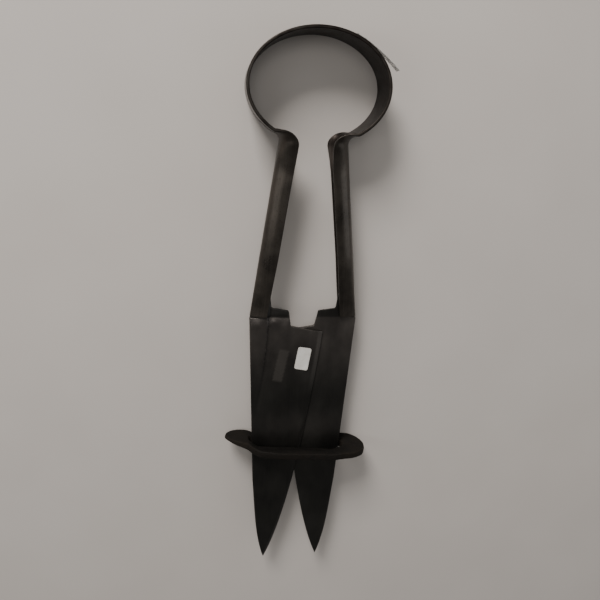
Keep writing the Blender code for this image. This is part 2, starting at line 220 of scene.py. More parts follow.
def strip_section(side, station, end):
    """One ring round the strip: its points, how far each lies from an edge, and its width mark.

    The bow is a flat band. Past the neck the band curls into a half round, rolled so that its
    upper edge reaches further in, and it flattens towards the shoulder.
    """
    x, y, heading, distance = station
    taper = float(smooth((SHOULDER_Y + GRIP_TAPER - y) / GRIP_TAPER))
    curled = float(smooth(distance / CURL_GROWTH))
    flanged = float(smooth((distance + FLANGE_LEAD) / FLANGE_GROWTH)) ** 2
    depth = mix(GRIP_CURL, GRIP_WIDTH, taper) * flanged
    half = mix(mix(BAND_WIDTH, GRIP_DEPTH, curled) / 2, GRIP_END_HALF_DEPTH, taper)
    roll = GRIP_ROLL * curled * (1 - taper)
    wall = mix(BAND_THICKNESS, GRIP_WALL, flanged)
    middle = MID_Z - side * GRIP_END_RISE * taper + depth * math.sin(roll) / 2

    spread = math.pi / 2 * mix(FLANGE_SPREAD, 1.0, flanged)
    around = np.linspace(-spread, spread, SECTION_STEPS)
    curl = depth * (1 - np.cos(around)) / (1 - math.cos(spread))
    rise = half * np.sin(around) / math.sin(spread)
    across = curl * math.cos(roll) + rise * math.sin(roll)
    height = middle + rise * math.cos(roll) - curl * math.sin(roll)
    run = np.concatenate(([0.0], np.cumsum(np.hypot(np.diff(across), np.diff(height)))))
    slope = np.stack((np.gradient(height), -np.gradient(across)), axis=1)
    slope /= np.linalg.norm(slope, axis=1)[:, None]

    edge = EDGE_ROUND * wall / 2
    fine = edge * np.array(EDGE_RINGS)
    inner = np.linspace(0.0, 1.0, SECTION_POINTS)[1:-1] * (run[-1] - 2 * fine[-1]) + fine[-1]
    marks = np.concatenate((fine, inner, run[-1] - fine[::-1]))
    from_edge = np.minimum(marks, run[-1] - marks)
    marks = mix(marks, run[-1] / 2, end / (run[-1] / 2))
    round_off = 1 - np.sqrt(1 - (1 - np.clip(from_edge / edge, 0, 1)) ** 2)
    thick = np.minimum(wall / 2 - edge * round_off, wall / 2 - end)
    face = np.stack((np.interp(marks, run, across), np.interp(marks, run, height)), axis=1)
    inward = np.stack((np.interp(marks, run, slope[:, 0]), np.interp(marks, run, slope[:, 1])), axis=1)
    turned_x = mix(math.sin(heading), -1.0, taper)
    turned_y = mix(-math.cos(heading), 0.0, taper)
    points = []
    for sign in (-1, 1):
        flat = face + inward * (wall / 2 + sign * thick)[:, None]
        ring = np.stack((side * (x + turned_x * flat[:, 0]), y + turned_y * flat[:, 0], flat[:, 1]), axis=1)
        sunk = RIPPLE * (0.5 - 0.5 * ripples(ring, RIPPLE_SCALE, STRIP_SEED + sign)) * -sign
        flat = flat + inward * (sunk * np.clip(from_edge / (4 * edge), 0, 1))[:, None]
        ring = np.stack((side * (x + turned_x * flat[:, 0]), y + turned_y * flat[:, 0], flat[:, 1]), axis=1)
        points.append(ring if sign < 0 else ring[::-1])
    closeness = 1 - smooth(from_edge / EDGE_WEAR)
    widths = marks - run[-1] / 2
    wear = np.concatenate((closeness, closeness[::-1]))
    return np.concatenate(points), wear, np.concatenate((widths, widths[::-1]))


def make_strip(name, side, stations, rounded_end, finish):
    """A length of the strip through its stations, closed at both ends."""
    last = stations[-1][3]
    rings = []
    wear = []
    places = []
    for station in stations:
        left_over = min(1.0, (last - station[3]) / STRIP_END_ROUND)
        end = STRIP_END_ROUND * (1 - math.sqrt(1 - (1 - left_over) ** 2)) if rounded_end else 0.0
        ring, closeness, widths = strip_section(side, station, end)
        rings.append(ring)
        near_end = 1 - smooth((last - station[3]) / EDGE_WEAR) if rounded_end else 0.0
        wear.append(np.maximum(closeness, near_end))
        places.append([(station[3] / MM, width / MM) for width in widths])
    count = len(rings[0])
    faces = []
    for row in range(len(rings) - 1):
        for column in range(count):
            after = (column + 1) % count
            low = row * count
            faces.append((low + column, low + after, low + count + after, low + count + column))
    for row, flip in ((0, True), (len(rings) - 1, False)):
        for column in range(count // 2 - 1):
            corners = [column, column + 1, count - 2 - column, count - 1 - column]
            corners = [row * count + corner for corner in corners]
            faces.append(tuple(reversed(corners)) if flip else tuple(corners))
    if side == LEFT:
        faces = [tuple(reversed(face)) for face in faces]
    made = new_object(name, np.concatenate(rings), faces, finish)
    made.data.set_sharp_from_angle(angle=SHARP_STRIP)
    paint(made, "edge", np.concatenate(wear))
    paint(made, "handled", np.repeat([smooth(station[3] / HANDLED_FROM) for station in stations], count))
    # Marks the inner face of the strip, for its painted shade (partly patina) and a rougher finish.
    paint(made, "shaded_inner_face", np.tile(np.arange(count) >= count // 2, len(rings)) * 1.0)
    flat_places = [place for row in places for place in row]
    layer = made.data.uv_layers.new(name="strip")
    for loop in made.data.loops:
        layer.data[loop.index].uv = flat_places[loop.vertex_index]
    return made


def build_strip(finish):
    """The four lengths: two quarters of the bow's top, and two grips with the bow's lower arms."""
    top = [bow_station(math.radians(90 - 90 * step / TOP_STEPS)) for step in range(TOP_STEPS + 1)]
    low = [bow_station(NECK_ANGLE * step / LOW_STEPS) for step in range(LOW_STEPS + 1)]
    low_length = with_distance(low, 0.0)[-1][3]
    top_length = with_distance(top, 0.0)[-1][3]
    top = with_distance(top, -low_length - top_length)
    low = with_distance(low + neck_and_grip(), -low_length)
    for side, word in ((LEFT, "left"), (RIGHT, "right")):
        bow_half = make_strip(word + "_bow_half", side, top, False, finish)
        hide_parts("bow_spring")
        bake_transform(bow_half)
        grip = make_strip(word + "_grip", side, low, True, finish)
        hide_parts(word + "_bow_arm", word + "_shank")
        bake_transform(grip)


# ---------------------------------------------------------------- slabs

CORNER_ANGLE = math.radians(25)
CORNER_STEPS = 5
CORNER_REACH = 0.45
EDGE_ROWS = (0.07 * MM, 0.2 * MM, 0.42 * MM, 0.8 * MM)
CLOSEST_ROW = 0.055 * MM
CLOSEST_GRID = 0.9 * MM
WHOLE_HULL = 0
JOIN_WITHIN = 1e-4


def resample(outline, spacing):
    """The same closed outline with a point at least every spacing, its corners kept."""
    dense = []
    for start, end in zip(outline, outline[1:] + outline[:1]):
        pieces = max(1, math.ceil(math.dist(start, end) / spacing))
        shares = [piece / pieces for piece in range(pieces)]
        dense += [(mix(start[0], end[0], share), mix(start[1], end[1], share)) for share in shares]
    return dense


def round_corners(outline, usual, special=None):
    """Replace each clear corner with a small arc, of its own radius where special names it."""
    rounded = []
    count = len(outline)
    for index, corner in enumerate(outline):
        corner = Vector(corner)
        before = Vector(outline[index - 1]) - corner
        after = Vector(outline[(index + 1) % count]) - corner
        turn = math.pi - before.angle(after)
        if turn < CORNER_ANGLE:
            rounded.append(tuple(corner))
            continue
        radius = (special or {}).get(outline[index], usual)
        reach = CORNER_REACH * min(before.length, after.length)
        cut = min(radius * math.tan(turn / 2), reach)
        first = corner + before.normalized() * cut
        last = corner + after.normalized() * cut
        for step in range(CORNER_STEPS + 1):
            share = step / CORNER_STEPS
            point = first.lerp(corner, share).lerp(corner.lerp(last, share), share)
            rounded.append(tuple(point))
    return rounded


def line_distance(points, line, closed):
    """Distance from each point to a line, and how far along it the nearest place is, 0 to 1."""
    line = np.array(line)
    starts = line if closed else line[:-1]
    ends = np.roll(line, -1, axis=0) if closed else line[1:]
    runs = ends - starts
    offsets = points[:, None, :] - starts[None]
    share = np.clip((offsets * runs).sum(2) / np.maximum((runs**2).sum(1), 1e-18), 0, 1)
    gaps = np.linalg.norm(offsets - share[:, :, None] * runs, axis=2)
    nearest = gaps.argmin(1)
    rows = np.arange(len(points))
    return gaps[rows, nearest], (nearest + share[rows, nearest]) / len(starts)


def inside(points, outline):
    """Which points lie inside a closed outline."""
    line = np.array(outline)
    ends = np.roll(line, -1, axis=0)
    crosses = (line[None, :, 1] > points[:, 1, None]) != (ends[None, :, 1] > points[:, 1, None])
    rise = np.where(ends[:, 1] == line[:, 1], 1e-12, ends[:, 1] - line[:, 1])
    at = line[:, 0] + (points[:, 1, None] - line[:, 1]) * (ends[:, 0] - line[:, 0]) / rise
    return (crosses & (points[:, 0, None] < at)).sum(1) % 2 == 1


def slab_points(loops, spacing, guides):
    """Points that fill the loops: rows close along each edge, the guide points, then a grid."""
    edges = np.array([point for loop in loops for point in loop])
    filled = []
    for loop in loops:
        line = np.array(loop)
        run = np.roll(line, -1, axis=0) - np.roll(line, 1, axis=0)
        run /= np.linalg.norm(run, axis=1)[:, None]
        for reach in EDGE_ROWS:
            for sign in (-1, 1):
                filled.append(line + sign * reach * np.stack((-run[:, 1], run[:, 0]), axis=1))
    close = np.concatenate(filled)
    steps = spacing * np.array((1.0, math.sqrt(3) / 2))
    low = edges.min(0)
    columns, rows = np.ceil((edges.max(0) - low) / steps).astype(int) + 1
    column, row = np.meshgrid(np.arange(columns), np.arange(rows))
    grid = low + np.stack((column + 0.5 * (row % 2), row), axis=2).reshape(-1, 2) * steps
    return edges, close, np.concatenate([np.array(guides).reshape(-1, 2), grid])


def make_slab(name, loops, spacing, guides, heights, finish, place):
    """A closed slab inside loops[0] and outside the other loops.

    heights(points, distances from the edge) gives the upper and the lower face. place(points)
    turns the slab's own x, y and height into the frame's. Returns the object, its flat points and
    their distances from the edge, the upper face's first.
    """
    edges, close, grid = slab_points(loops, spacing, guides)

    def from_loops(points):
        """Distance from each point to the nearest loop."""
        return np.minimum.reduce([line_distance(points, loop, True)[0] for loop in loops])

    def filled(points):
        """Which points lie in the slab."""
        within = inside(points, loops[0])
        for hole in loops[1:]:
            within &= ~inside(points, hole)
        return within

    def kept(points, least):
        """The points that lie in the slab and at least so far from its edges."""
        return points[filled(points) & (from_loops(points) > least)]

    points = np.concatenate((edges, kept(close, CLOSEST_ROW), kept(grid, CLOSEST_GRID)))
    borders = []
    first = 0
    for loop in loops:
        count = len(loop)
        borders += [(first + k, first + (k + 1) % count) for k in range(count)]
        first += count
    vectors = [Vector(point) / MM for point in points]
    flat, _, triangles, _, _, _ = delaunay_2d_cdt(vectors, borders, [], WHOLE_HULL, JOIN_WITHIN)
    flat = np.array([tuple(point) for point in flat]) * MM
    middles = np.array([flat[list(triangle)].mean(0) for triangle in triangles])
    triangles = [tuple(triangle) for triangle, keep in zip(triangles, filled(middles)) if keep]

    gaps = from_loops(flat)
    upper, lower = heights(flat, gaps)
    count = len(flat)
    faces = triangles + [tuple(count + corner for corner in reversed(triangle)) for triangle in triangles]
    sides = [side for a, b, c in triangles for side in ((a, b), (b, c), (c, a))]
    shared = set(sides)
    for start, end in sides:
        if (end, start) not in shared:
            faces.append((end, start, count + start, count + end))
    solid = np.concatenate((np.column_stack((flat, upper)), np.column_stack((flat, lower))))
    made = new_object(name, place(solid), faces, finish)
    turn_faces_out(made)
    return made, np.concatenate((flat, flat)), np.concatenate((gaps, gaps))


def turn_faces_out(made):
    """Turn every face outwards."""
    shell = bmesh.new()
    shell.from_mesh(made.data)
    bmesh.ops.recalc_face_normals(shell, faces=shell.faces)
    shell.to_mesh(made.data)
    shell.free()


def rim_drop(gaps, radius):
    """How far a rounded edge falls below the face."""
    share = 1 - np.clip(gaps / radius, 0, 1)
    return radius * (1 - np.sqrt(1 - share**2))


# ---------------------------------------------------------------- blades

BLADE_THICKNESS = 1.8 * MM
BLADE_GAP = 0.15 * MM
EDGE_THICKNESS = 0.3 * MM
HEEL = (-12.8 * MM, -0.5 * MM)
TIP = (18.5 * MM, TIP_Y)
EDGE_HANDLES = ((-6.5 * MM, -70 * MM), (4.9 * MM, -140 * MM))
BACK_HANDLES = ((25.1 * MM, -150 * MM), (25.3 * MM, -132 * MM))
BACK_END = (27.7 * MM, -107 * MM)
SHOULDER_TOP = SHOULDER_Y - 0.3 * MM
TANG_TOP_Y = BLADE_HIGH.y
TANG_OUTER_X = 27.2 * MM
TANG_INNER_X = 20.8 * MM
LEDGE_OUTER = (19.8 * MM, 14.8 * MM)
LEDGE_INNER = (9.2 * MM, 13.2 * MM)
LEDGE_ROUND = 2.0 * MM
BLADE_CORNER = 0.7 * MM
NOTCH_ROUND = 1.1 * MM
NOTCH_FOOT = (7.4 * MM, 3.2 * MM)
CREASE_START = (21.2 * MM, SHOULDER_TOP)
CREASE_HANDLES = ((21.2 * MM, -26 * MM), (26.0 * MM, -44 * MM))
CREASE_END = (28.6 * MM, -62 * MM)
SPINE_HEIGHT = 2.1 * MM
SPINE_CROWN = 0.38
BEVEL_AT_HEEL = 6.5 * MM
BEVEL_AT_TIP = 2.6 * MM
BEVEL_CURVE = 1.6
BEVEL_NARROWING = 2.2
GROUND_WIDTH = 3.4 * MM
FOLD_RISE = 0.8 * MM
FOLD_LENGTH = 5.5 * MM
FOLD_UNEVENNESS = 0.7
FOLD_UNEVEN_SCALE = 5 * MM
FOLD_FADE_FROM = -12 * MM
FOLD_FADE_LENGTH = 14 * MM
FOLD_INNER_X = 5 * MM
FOLD_INNER_FADE = 5 * MM
LEDGE_FALL_FROM = 8.8 * MM
LEDGE_FALL = 0.16
FOLD_ROWS = (7.4 * MM, 8.2 * MM, 8.7 * MM, 9.1 * MM)
GROOVE_DEPTH = 0.30 * MM
GROOVE_WIDTH = 1.1 * MM
FOOT_DEPTH = 0.42 * MM
FOOT_WIDTH = 0.7 * MM
LUMP_DEPTH = 0.06 * MM
LUMP_SCALE = 9 * MM
RIM_ROUND = 0.35 * MM
SPINE_ROUND = 0.9 * MM
INNER_RIM_ROUND = 0.25 * MM
HOLLOW_DEPTH = 0.10 * MM
HOLLOW_REACH = 7 * MM
HOLLOW_WAVE = 0.03 * MM
HOLLOW_WAVE_SCALE = 7 * MM
LEAST_THICKNESS = 0.12 * MM
# Where the blade starts to grow lighter towards the shoulder, and over what length.
HEEL_LIGHTER_START = -46 * MM
HEEL_LIGHTER_LENGTH = 52 * MM
# Painted light: how strongly, and how far above the keeper, the blade is lightened.
KEEPER_PAINTED_LIGHT = 0.35
KEEPER_PAINTED_LIGHT_LEAD = 5 * MM
KEEPER_PAINTED_LIGHT_WIDTH = 11 * MM
BLADE_EDGE_WEAR = 1.1 * MM
SHARP_BLADE = math.radians(60)
BLADE_GRID = 1.1 * MM
OUTLINE_SPACING = 1.2 * MM
EDGE_STEPS = 90
BACK_STEPS = 40
EDGE_LINE_STEPS = 120
CREASE_STEPS = 60
STAMP_CENTRE = (12.6 * MM, -23.0 * MM)
STAMP_HALF_SIZE = (3.4 * MM, 11.5 * MM)
STAMP_LEAN = math.radians(-10)


def back_x(y):
    """Half width of the straight back of a blade at y."""
    return mix(SHOULDER_HALF_WIDTH, BACK_END[0], (SHOULDER_TOP - y) / (SHOULDER_TOP - BACK_END[1]))


def blade_loop():
    """A blade's outline on its own side, with X growing towards its back."""
    outline = cubic(HEEL, *EDGE_HANDLES, TIP, EDGE_STEPS)
    outline += cubic(TIP, *BACK_HANDLES, BACK_END, BACK_STEPS)
    outline.append(BACK_END)
    outline.append((SHOULDER_HALF_WIDTH, SHOULDER_TOP))
    outline.append((TANG_OUTER_X, SHOULDER_TOP))
    outline.append((TANG_OUTER_X, TANG_TOP_Y))
    outline.append((TANG_INNER_X, TANG_TOP_Y))
    outline.append(LEDGE_OUTER)
    outline.append(LEDGE_INNER)
    outline.append(NOTCH_FOOT)
    soft = {LEDGE_OUTER: LEDGE_ROUND, LEDGE_INNER: NOTCH_ROUND, NOTCH_FOOT: NOTCH_ROUND}
    return resample(round_corners(outline, BLADE_CORNER, soft), OUTLINE_SPACING)


def edge_line():
    """The cutting edge from heel to tip."""
    return cubic(HEEL, *EDGE_HANDLES, TIP, EDGE_LINE_STEPS) + [TIP]


def crease_line():
    """The crease at the foot of the thick back, from the shoulder towards the tip."""
    return cubic(CREASE_START, *CREASE_HANDLES, CREASE_END, CREASE_STEPS) + [CREASE_END]


def bevel_width(share):
    """How wide the bevel is at a share of the cutting edge, from heel to tip."""
    return mix(BEVEL_AT_HEEL, BEVEL_AT_TIP, smooth(share * BEVEL_NARROWING))


def blade_guides():
    """Extra points where the blade's face bends: the bevel's top, the crease and the fold."""
    line = np.array(edge_line())
    run = np.gradient(line, axis=0)
    run /= np.linalg.norm(run, axis=1)[:, None]
    across = np.stack((-run[:, 1], run[:, 0]), axis=1)
    width = bevel_width(np.linspace(0, 1, len(line)))[:, None]
    guides = [line + across * (width + offset) for offset in (-0.5 * MM, 0.0, 0.5 * MM)]
    crease = np.array(crease_line())
    guides += [crease + (offset, 0.0) for offset in (-0.5 * MM, 0.0, 0.4 * MM, 0.9 * MM)]
    fold = np.arange(6 * MM, SHOULDER_HALF_WIDTH, 0.9 * MM)
    guides += [np.column_stack((fold, np.full(len(fold), y))) for y in FOLD_ROWS]
    return np.concatenate(guides)


def blade_heights(side):
    """The outer face with its bevel, spine and fold, and the hollow-ground face that meets its mate."""
    edge = edge_line()
    crease = np.array(crease_line())

    def heights(points, gaps):
        """The outer and the inner face's height at each point."""
        x, y = points[:, 0], points[:, 1]
        from_edge, share = line_distance(points, edge, False)
        width = bevel_width(share)
        bevel = (BLADE_THICKNESS - EDGE_THICKNESS) * np.clip(1 - from_edge / width, 0, 1) ** BEVEL_CURVE
        crease_x = np.interp(y, crease[::-1, 1], crease[::-1, 0])
        along = smooth((y - crease[-1, 1]) / (SHOULDER_TOP - crease[-1, 1]))
        over = (x - crease_x) / np.maximum(back_x(y) - crease_x, 1 * MM)
        crown = mix(1.0, np.sin(np.pi * np.clip(over, 0, 1)), SPINE_CROWN)
        swell = smooth((x - crease_x + 0.2 * MM) / (1.0 * MM)) * crown
        spine = SPINE_HEIGHT * along * swell
        uneven = ripples(np.column_stack((x, x * 0, x * 0)), FOLD_UNEVEN_SCALE, FOLD_SEED)
        fold_length = FOLD_LENGTH * (1 + FOLD_UNEVENNESS * uneven)
        faded = smooth((y - FOLD_FADE_FROM) / FOLD_FADE_LENGTH)
        bead = FOLD_RISE * smooth((SHOULDER_TOP - y) / fold_length) * faded
        bead *= smooth((x - FOLD_INNER_X) / FOLD_INNER_FADE)
        fall = np.clip(y - LEDGE_FALL_FROM, 0, None) * LEDGE_FALL
        groove = GROOVE_DEPTH * np.exp(-(((y - SHOULDER_TOP + 0.1 * MM) / GROOVE_WIDTH) ** 2))
        foot = FOOT_DEPTH * np.exp(-(((x - crease_x + FOOT_WIDTH) / FOOT_WIDTH) ** 2)) * np.sqrt(along)
        drawn_out = np.column_stack((x, y * 0.4, x * 0))
        lumps = LUMP_DEPTH * ripples(drawn_out, LUMP_SCALE, BLADE_SEED + side)
        upper = BLADE_THICKNESS / 2 + spine + bead - foot - fall - groove + lumps - bevel
        at_grip = smooth((y - SHOULDER_TOP + 4 * MM) / (3 * MM))
        round_back = RIM_ROUND + SPINE_ROUND * along * (x > crease_x) * (1 - at_grip)
        upper -= rim_drop(gaps, round_back)
        waves = ripples(np.column_stack((x, y * 0.3, x * 0)), HOLLOW_WAVE_SCALE, HOLLOW_SEED + side)
        hollow = HOLLOW_DEPTH * smooth(gaps / HOLLOW_REACH) + HOLLOW_WAVE * waves
        lower = -BLADE_THICKNESS / 2 + np.clip(hollow, 0, None) + rim_drop(gaps, INNER_RIM_ROUND)
        return np.maximum(upper, lower + LEAST_THICKNESS), lower

    return heights


def stamp_mask(points):
    """A slanted band of the left blade that is evenly scuffed."""
    x = points[:, 0] - STAMP_CENTRE[0]
    y = points[:, 1] - STAMP_CENTRE[1]
    across = x * math.cos(STAMP_LEAN) - y * math.sin(STAMP_LEAN)
    along = x * math.sin(STAMP_LEAN) + y * math.cos(STAMP_LEAN)
    beside = smooth((STAMP_HALF_SIZE[0] - abs(across)) / (0.7 * MM))
    return beside * smooth((STAMP_HALF_SIZE[1] - abs(along)) / (1.5 * MM))


def build_blade(side, finish):
    """One blade, with the marks that its material reads."""
    word = "left" if side == LEFT else "right"
    face = -side
    level = MID_Z + face * (BLADE_GAP + BLADE_THICKNESS / 2)

    def place(solid):
        """Lay the slab in the frame, its outer face away from the other blade."""
        return np.column_stack((side * solid[:, 0], solid[:, 1], level + face * solid[:, 2]))

    blade, flat, gaps = make_slab(word + "_shear_blade", [blade_loop()], BLADE_GRID, blade_guides(),
                                  blade_heights(side), finish, place)
    from_edge, share = line_distance(flat, edge_line(), False)
    outer = np.arange(len(flat)) < len(flat) // 2
    blade.data.set_sharp_from_angle(angle=SHARP_BLADE)
    paint(blade, "edge", 1 - smooth(gaps / BLADE_EDGE_WEAR))
    # A lighter strip along the bevel of the outer face, fading out about a fifth of the way from the heel to
    # the tip.
    strip = 1 - smooth((from_edge / GROUND_WIDTH - 0.6) / 0.4)
    near_heel = 1 - smooth((share - 0.04) / 0.18)
    paint(blade, "ground", outer * strip * near_heel)
    # The blade grows lighter towards the shoulder, but much less on the ledge above the fold.
    above_fold = smooth((flat[:, 1] - SHOULDER_TOP + 0.5 * MM) / (1.0 * MM))
    heel_lighter = smooth((flat[:, 1] - HEEL_LIGHTER_START) / HEEL_LIGHTER_LENGTH) * (1 - 0.85 * above_fold)
    # Painted light: the blade is lightened just above the keeper, lifting the shade there.
    from_keeper = flat[:, 1] - KEEPER_HIGH.y - KEEPER_PAINTED_LIGHT_LEAD
    keeper_painted_light = KEEPER_PAINTED_LIGHT * np.exp(-((from_keeper / KEEPER_PAINTED_LIGHT_WIDTH) ** 2))
    paint(blade, "lightened", np.maximum(heel_lighter, keeper_painted_light))
    paint(blade, "stamp", outer * (side == LEFT) * stamp_mask(flat))
    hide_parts(word + "_blade")
    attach(blade, word + "_half")


# ---------------------------------------------------------------- label, keeper and tape

LABEL_SIZE = (8.5 * MM, 15 * MM)
LABEL_CORNER = 1.6 * MM
LABEL_PLACE = (1.1 * MM, -18.1 * MM)
LABEL_TILT = math.radians(-8)
LABEL_THICKNESS = 0.14 * MM
LABEL_LIFT = 0.45 * MM
LABEL_LIFT_REACH = 5 * MM
LABEL_CLEARANCE = 0.16 * MM
LABEL_CRINKLE = 0.03 * MM
LABEL_CRINKLE_SCALE = 2.5 * MM
LABEL_RIM_ROUND = 0.05 * MM
LABEL_EDGE_WEAR = 0.7 * MM
LABEL_GRID = 0.6 * MM
KEEPER_TILT = math.radians(-5.5)
KEEPER_THICKNESS = 4.6 * MM
LIP_DRAG = 4.0 * MM
RIM_DRAG = 1.2 * MM
REAR_DRAG = 2.0 * MM
SLOT_HALF_LENGTH = 31.4 * MM
SLOT_HALF_HEIGHT = 2.5 * MM
KEEPER_THINNING = 0.55
KEEPER_LUMP_DEPTH = 0.18 * MM
KEEPER_LUMP_SCALE = 6 * MM
KEEPER_GRAIN_DEPTH = 0.06 * MM
KEEPER_GRAIN_SCALE = 1.6 * MM
KEEPER_SAG = 0.6 * MM
KEEPER_SAG_SCALE = 15 * MM
KEEPER_RIM_ROUND = 0.8 * MM
KEEPER_EDGE_WEAR = 1.2 * MM
KEEPER_GRID = 1.2 * MM
SLOT_SPACING = 1.1 * MM
NICK_SCALE = 2.3 * MM
SWELL_SCALE = 7.0 * MM
KEEPER_POINTS = 1.1
SLOT_END_STEPS = 8
SLOT_END_CURVE = 0.4
TAPE_THICKNESS = 0.14 * MM
TAPE_WIDTH = 6 * MM
TAPE_START = math.radians(64)
TAPE_END = math.radians(52)
TAPE_FLAP = 21.8 * MM
TAPE_BEND = math.radians(11)
TAPE_LIFT = 0.12 * MM
TAPE_BUMP = 0.25 * MM
TAPE_BUMP_PLACE = 0.1
TAPE_BUMP_WIDTH = 0.08
TAPE_BELOW_RIM = 0.1 * MM
TAPE_WAVE = 0.05 * MM
TAPE_WAVE_SCALE = 3 * MM
TAPE_STEPS = 18
FLAP_STEPS = 14
TAPE_COLUMNS = 9


def build_label(finish):
    """A blank paper sticker whose lower corner has started to lift."""
    half_x = LABEL_SIZE[0] / 2
    half_y = LABEL_SIZE[1] / 2
    corners = [(half_x, half_y), (-half_x, half_y), (-half_x, -half_y), (half_x, -half_y)]
    loop = resample(round_corners(corners, LABEL_CORNER), LABEL_GRID)
    surface = MID_Z + BLADE_GAP + BLADE_THICKNESS

    def heights(points, gaps):
        """The upper and the lower face's height above the blade at each point."""
        corner = np.array((half_x, -half_y))
        reach = np.linalg.norm(points - corner, axis=1)
        lift = LABEL_LIFT * (1 - smooth(reach / LABEL_LIFT_REACH))
        flat = np.column_stack((points, points[:, 0] * 0))
        crinkle = LABEL_CRINKLE * ripples(flat, LABEL_CRINKLE_SCALE, LABEL_SEED)
        base = LABEL_CLEARANCE + lift + crinkle
        drop = rim_drop(gaps, LABEL_RIM_ROUND)
        return base + LABEL_THICKNESS - drop, base + drop

    def place(solid):
        """Turn the label and lay it on the blade."""
        cos_tilt, sin_tilt = math.cos(LABEL_TILT), math.sin(LABEL_TILT)
        x = LABEL_PLACE[0] + solid[:, 0] * cos_tilt - solid[:, 1] * sin_tilt
        y = LABEL_PLACE[1] + solid[:, 0] * sin_tilt + solid[:, 1] * cos_tilt
        return np.column_stack((x, y, surface + solid[:, 2]))

    label, _, gaps = make_slab("blank_label", [loop], LABEL_GRID, [], heights, finish, place)
    paint(label, "edge", 1 - smooth(gaps / LABEL_EDGE_WEAR))
    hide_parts("price_label")
    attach(label, "left_half")


def keeper_loop():
    """The keeper's hand-cut outline: a pointed left flap, a deep lip in front, a full right flap.

    Each row is one arc in millimetres: its start and its two handles. It ends where the next starts.
    """
    arcs = (
        ((47.0, -1.0), (46.6, -6.5), (43.0, -12.9)),
        ((36.0, -12.9), (24.0, -11.6), (10.0, -11.4)),
        ((0.0, -11.5), (-12.0, -11.3), (-20.0, -9.6)),
        ((-29.0, -9.4), (-36.0, -10.2), (-46.0, -12.0)),
        ((-47.1, -2.2), (-45.5, 3.0), (-38.0, 5.0)),
        ((-32.0, 8.0), (-28.5, 10.6), (-27.0, 15.4)),
        ((-10.0, 15.4), (6.0, 15.4), (22.0, 14.6)),
        ((31.0, 13.2), (39.0, 11.8), (46.6, 8.0)),
    )
    loop = []
    for index, (start, handle_a, handle_b) in enumerate(arcs):
        end = arcs[(index + 1) % len(arcs)][0]
        steps = max(8, round(math.dist(start, end) / KEEPER_POINTS))
        loop += cubic(start, handle_a, handle_b, end, steps)
    rough = []
    for place in loop:
        point = Vector(place) * MM
        nick = noise.noise(Vector((point.x, point.y, 0.0)) / NICK_SCALE)
        swell = noise.noise(Vector((point.x, point.y, 1.0)) / SWELL_SCALE)
        rough.append(tuple(point - point.normalized() * (0.35 + 0.30 * nick + 0.40 * swell) * MM))
    return rough


def slot_loop():
    """The slot for both blades, with round ends."""
    loop = []
    for sign in (1, -1):
        for step in range(SLOT_END_STEPS + 1):
            angle = math.pi * (step / SLOT_END_STEPS - 0.5)
            bulge = SLOT_HALF_HEIGHT * abs(math.cos(angle)) ** SLOT_END_CURVE
            x = SLOT_HALF_LENGTH - SLOT_HALF_HEIGHT + bulge
            loop.append((sign * x, sign * SLOT_HALF_HEIGHT * math.sin(angle)))
    return resample(loop, SLOT_SPACING)


def build_keeper(finish):
    """The leather keeper: thick in the middle, thinner at its left point, cut by hand."""
    centre_y = (KEEPER_LOW.y + KEEPER_HIGH.y) / 2

    def heights(points, gaps):
        """The front face's and the rear face's height at each point."""
        x, y = points[:, 0], points[:, 1]
        flat = np.column_stack((x, y, x * 0))
        half = KEEPER_THICKNESS / 2 * (1 - KEEPER_THINNING * smooth((-x - 30 * MM) / (17 * MM)))
        lumps = KEEPER_LUMP_DEPTH * ripples(flat, KEEPER_LUMP_SCALE, LEATHER_SEED)
        grain = KEEPER_GRAIN_DEPTH * ripples(flat, KEEPER_GRAIN_SCALE, GRAIN_SEED)
        front = mix(LIP_DRAG, RIM_DRAG, smooth((y - 3 * MM) / (9 * MM)))
        drag = mix(REAR_DRAG, front, smooth((y + 3 * MM) / (6 * MM)))
        drag *= smooth((33 * MM - abs(x)) / (9 * MM))
        sag = -KEEPER_SAG * np.sin(x / KEEPER_SAG_SCALE)
        middle = drag + sag - lumps
        round_off = rim_drop(gaps, KEEPER_RIM_ROUND)
        return middle + half + grain - round_off, middle - half - grain + round_off

    def place(solid):
        """Stand the slab up across the blades, its upper face towards the tips."""
        cos_tilt, sin_tilt = math.cos(KEEPER_TILT), math.sin(KEEPER_TILT)
        x = solid[:, 0] * cos_tilt + solid[:, 2] * sin_tilt
        y = centre_y + solid[:, 0] * sin_tilt - solid[:, 2] * cos_tilt
        return np.column_stack((x, y, MID_Z + solid[:, 1]))

    keeper, flat, gaps = make_slab("slotted_keeper", [keeper_loop(), slot_loop()], KEEPER_GRID, [],
                                   heights, finish, place)
    paint(keeper, "edge", 1 - smooth(gaps / KEEPER_EDGE_WEAR))
    # Painted shade: the middle of the keeper, where it lies across the blades, is darkened.
    paint(keeper, "shaded_middle", smooth((34 * MM - abs(flat[:, 0])) / (6 * MM)))
    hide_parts("leather_keeper")
    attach(keeper, "keeper")


def tape_line():
    """The tape's path: close round the bow, a small bump, then a gently bent free end."""
    line = []
    for step in range(TAPE_STEPS + 1):
        share = step / TAPE_STEPS
        angle = mix(TAPE_START, TAPE_END, share)
        grow = TAPE_LIFT + TAPE_BUMP * math.exp(-((share - TAPE_BUMP_PLACE) / TAPE_BUMP_WIDTH) ** 2)
        line.append(Vector(((BOW_A + grow) * math.cos(angle), BOW_Y + (BOW_B + grow) * math.sin(angle))))
    run = (line[-1] - line[-2]).normalized()
    for _ in range(FLAP_STEPS):
        run.rotate(Matrix.Rotation(-TAPE_BEND / FLAP_STEPS, 2))
        line.append(line[-1] + run * (TAPE_FLAP / FLAP_STEPS))
    return line


